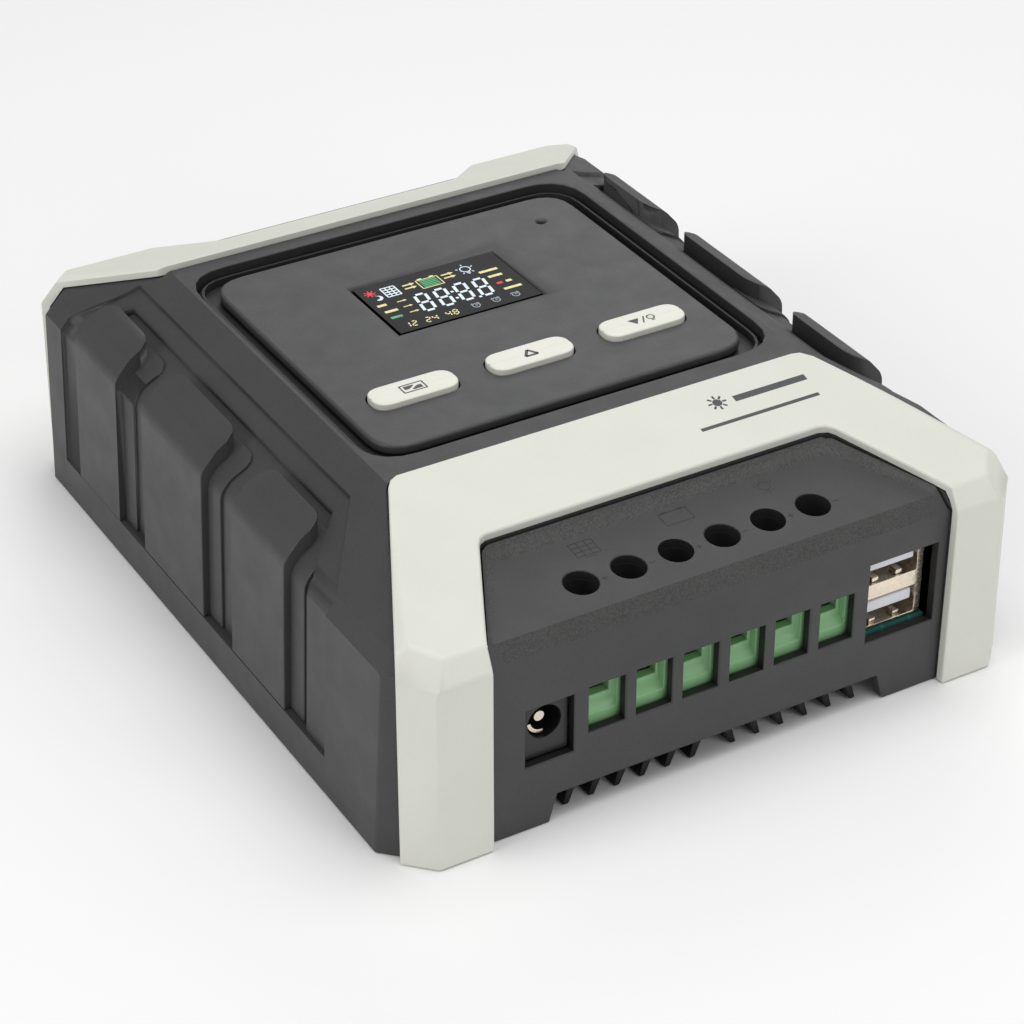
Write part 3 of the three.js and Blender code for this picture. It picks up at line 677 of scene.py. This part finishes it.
def clock(centre, radius, line):
    x, y = centre
    ears = []
    for side in (-1, 1):
        top = (x + side * radius * 0.7, y + radius * 1.25)
        foot = (x + side * radius * 1.2, y + radius * 0.7)
        ears.append(stroke(top, foot, line))
    hands = strokes([(x, y + radius * 0.55), (x, y), (x + radius * 0.4, y)], line)
    return ring(centre, radius, line, 14) + ears + hands


# Which of the seven bars are lit, in the order: low, low right, high right, top, high left,
# low left, middle.
NUMERALS = {"1": "0110000", "2": "1011011", "4": "0110101", "8": "1111111"}
LEAN = math.tan(math.radians(8))


def numeral(which, centre, width, height, line):
    """One seven-segment figure that leans to the right."""
    half, rise, trim = width / 2, height / 2, line * 0.62
    corners = {"low": [(-half, -rise), (half, -rise)], "high": [(-half, rise), (half, rise)],
               "mid": [(-half, 0), (half, 0)]}
    pairs = [corners["low"], (corners["low"][1], corners["mid"][1]),
             (corners["mid"][1], corners["high"][1]), corners["high"],
             (corners["high"][0], corners["mid"][0]), (corners["mid"][0], corners["low"][0]),
             corners["mid"]]
    shapes = []
    for lit_up, (a, b) in zip(NUMERALS[which], pairs):
        if lit_up == "0":
            continue
        start, end = Vector(a), Vector(b)
        along = (end - start).normalized() * trim
        outline = stroke(start + along, end - along, line)
        shapes.append([Vector((centre[0] + p.x + LEAN * p.y, centre[1] + p.y)) for p in outline])
    return shapes


def put_marks(name, shapes, origin, along, material, body=BODY, thick_mm=0.04):
    """Thin raised marks: x runs along +X, y runs along the given direction."""
    across = Vector((1, 0, 0))
    along = Vector(along).normalized()
    up = across.cross(along)
    bm = bmesh.new()
    for outline in shapes:
        level = [origin + across * mm(p[0]) + along * mm(p[1]) for p in outline]
        low = [bm.verts.new(point) for point in level]
        high = [bm.verts.new(point + up * mm(thick_mm)) for point in level]
        bm.faces.new(high)
        bm.faces.new(low[::-1])
        for k in range(len(low)):
            after = (k + 1) % len(low)
            bm.faces.new((low[k], low[after], high[after], high[k]))
    bmesh.ops.recalc_face_normals(bm, faces=bm.faces)
    piece = new_piece(name, bm, material, body)
    return piece


# The display's own coordinates start at the near left corner of its glass.
DISPLAY_CORNER = place_mm(-15.65, 87.23, 47.4)
FINE = 0.2
FIGURES_MM = [(10.1, 8.7), (14.2, 8.6), (18.5, 8.6), (22.6, 8.4)]
VOLTAGES_MM = {"12": (3.7, 2.5), "24": (8.1, 2.4), "48": (12.5, 2.4)}
CLOCKS_MM = [(17.9, 2.6), (22.3, 2.6), (26.6, 2.6)]
BIG_ARROWS_MM = [(10.6, 16.3), (10.5, 15.0), (19.1, 16.3), (19.1, 15.0)]
SMALL_ARROWS_MM = [(6.5, 11.3), (6.6, 9.0), (6.7, 6.6)]
# Each plain bar that stands for a word: its middle and its width.
WORD_BARS_MM = [((2.3, 11.5), 1.9), ((2.9, 8.8), 2.7), ((26.7, 13.5), 4.0),
                ((26.9, 11.1), 3.0), ((28.2, 8.1), 1.2), ((27.6, 5.5), 3.8)]
WORD_BAR_HEIGHT_MM = 0.75


def make_display():
    """The lit figures, signs and bars of the display, one piece for each colour."""
    white = [shape for at in FIGURES_MM for shape in numeral("8", at, 2.3, 6.4, 0.62)]
    for dot in ((16.2, 7.0), (16.5, 9.6), (20.3, 5.2)):
        white += bar(dot, 0.55, 0.55)
    white += grid((6.4, 15.6), 2.9, 3.6, 3, 4, 0.26) + crescent((3.1, 14.4), 0.95)
    white += bulb((23.1, 16.2), 1.05, FINE)
    yellow = box_outline((14.7, 15.1), 4.6, 3.4, FINE)
    yellow += bar((13.4, 17.1), 0.9, 0.4) + bar((16.0, 17.1), 0.9, 0.4)
    for at in BIG_ARROWS_MM:
        yellow += arrow(at, 2.6, 0.4)
    for at in SMALL_ARROWS_MM:
        yellow += arrow(at, 2.0, 0.26)
    for at, width in WORD_BARS_MM:
        yellow += bar(at, width, WORD_BAR_HEIGHT_MM)
    for pair, at in VOLTAGES_MM.items():
        for k, which in enumerate(pair):
            yellow += numeral(which, (at[0] - 0.75 + 1.5 * k, at[1]), 0.9, 1.7, 0.27)
    green = [shape for k in range(5) for shape in bar((14.7, 13.9 + 0.6 * k), 3.6, 0.34)]
    green += bar((2.7, 6.3), 2.4, WORD_BAR_HEIGHT_MM)
    red = sun((2.4, 16.6), 1.25, 0.26) + bar((26.2, 8.1), 1.2, WORD_BAR_HEIGHT_MM)
    dim = [shape for at in CLOCKS_MM for shape in clock(at, 0.75, 0.17)]
    colours = {"white": (white, LIT_WHITE), "yellow": (yellow, LIT_YELLOW),
               "green": (green, LIT_GREEN), "red": (red, LIT_RED), "dim": (dim, LIT_DIM)}
    for name, (shapes, material) in colours.items():
        put_marks(f"display_{name}_marks", shapes, DISPLAY_CORNER, (0, 1, 0), material)


KEY_TOP_MM = 49.4
KEY_Y_MM = 66.25
KEY_PITCH_MM = 24.4
PRINT_MM = 0.02            # how far printed and moulded marks stand up


def make_key_marks():
    """A battery sign, a triangle, and a triangle with a lamp, one on each key."""
    wedge = ((-1.75, -0.3), (-0.9, -0.3), (0.3, 0.5), (0.3, 0.8), (-1.75, 0.8))
    left = box_outline((0, 0), 4.6, 2.5, 0.3)
    left += [[Vector((x * turned, y * turned)) for x, y in wedge] for turned in (1, -1)]
    up = [(-1.3, -0.9), (1.3, -0.9), (0, 1.1)]
    middle = strokes(up, 0.6, closed=True)
    down = [Vector(p) for p in ((-2.7, 0.9), (-0.3, 0.9), (-1.5, -1.0))]
    right = [down, stroke((-0.2, -1.1), (0.9, 1.1), 0.3)]
    right += ring((2.0, 0.2), 0.75, 0.28, 12) + bar((2.0, -0.95), 0.7, 0.3)
    keys = {"left": (-1, left), "middle": (0, middle), "right": (1, right)}
    for where, (step, shapes) in keys.items():
        origin = place_mm(step * KEY_PITCH_MM, KEY_Y_MM, KEY_TOP_MM)
        put_marks(f"key_mark_{where}", shapes, origin, (0, 1, 0), INK,
                  f"button_{where}", PRINT_MM)


SIGN_OFFSET_MM = 4.2       # each plus or minus stands this far beside its hole
SIGN_MM = 1.3
SIGN_LINE_MM = 0.18
POCKET_MM = (2.2, 39.5)    # depth and height of a point on the pocket's floor
POCKET_ALONG = (0, 18, 2.1)
TRIM_MARK_HEIGHT_MM = 41.434
TRIM_MARK_ALONG = (0, 0.9787, 0.2053)


def make_cover_marks():
    """Faint outlines moulded into the pocket's floor: a panel, a battery, a bulb and signs, in a
    darker colour as painted shade in their grooves.
    """
    shapes = grid((-18.6, 14.5), 4.6, 3.6, 3, 3, 0.16) + bar((-18.6, 12.2), 2.2, 0.16)
    shapes += box_outline((0.3, 14.8), 5.6, 3.2, 0.18)
    shapes += bar((-1.3, 16.6), 1.0, 0.3) + bar((1.9, 16.6), 1.0, 0.3)
    shapes += bulb((18.9, 15.2), 1.1, 0.16)
    for k, hole_x in enumerate(WELL_X_MM):
        x, y = hole_x + SIGN_OFFSET_MM, 6.2
        shapes += bar((x, y), SIGN_MM, SIGN_LINE_MM)
        positive = k % 2 == 0
        if positive:
            shapes.append(stroke((x, y - SIGN_MM / 2), (x, y + SIGN_MM / 2), SIGN_LINE_MM))
    put_marks("cover_marks", shapes, place_mm(0, *POCKET_MM), POCKET_ALONG, DEBOSS_PAINTED_SHADE,
              thick_mm=PRINT_MM)


def make_trim_mark():
    """A plain printed mark on the front trim: a small sun and two bars."""
    shapes = sun((20.4, 35.6), 1.9, 0.42)
    shapes += bar((31.6, 35.3), 15.6, 1.5) + bar((26.4, 30.4), 25.4, 0.8)
    put_marks("trim_mark", shapes, place_mm(0, 0, TRIM_MARK_HEIGHT_MM), TRIM_MARK_ALONG, INK,
              thick_mm=PRINT_MM)


make_camera()
make_studio()
make_floor()
make_housing()
make_trim("front_trim", "front_trim_moulding", FRONT_ARCH_HALF_MM, FRONT_LIP_MM)
make_trim("rear_trim", "rear_trim_moulding", REAR_ARCH_HALF_MM, REAR_LIP_MM)
make_cover("terminal_cover", "terminal_cover_moulding", -1)
make_cover("rear_cover", "rear_cover_moulding", 1)
rounded_copy("display_panel", "panel_plate", "panel_plastic", 0.7, 3)
for where in ("left", "middle", "right"):
    rounded_copy(f"button_{where}", f"key_cap_{where}", "button_plastic", 0.3, 3, 50,
                 f"button_{where}", clamp=False)
rounded_copy("heatsink", "finned_base", "fin_metal", 0.25, 2)
rounded_copy("terminal_block", "terminal_strip", "terminal_plastic", 0.2, 2)
rounded_copy("usb_shell", "usb_can", "bright_steel", 0.12, 2)
rounded_copy("dc_jack_body", "jack_body", "black_plastic", 0.25, 2)
rounded_copy("usb_tongue_upper", "tongue_upper", "white_plastic", 0.4, 3)
rounded_copy("usb_tongue_lower", "tongue_lower", "white_plastic", 0.4, 3)
make_usb_contacts()
make_wells()
make_display()
make_key_marks()
make_cover_marks()
make_trim_mark()

for entry in frame["record"]["subparts"]:
    node = nodes[entry["node"]]
    node.data.materials.clear()
    node.data.materials.append(MATERIALS[entry["material_slot"]])
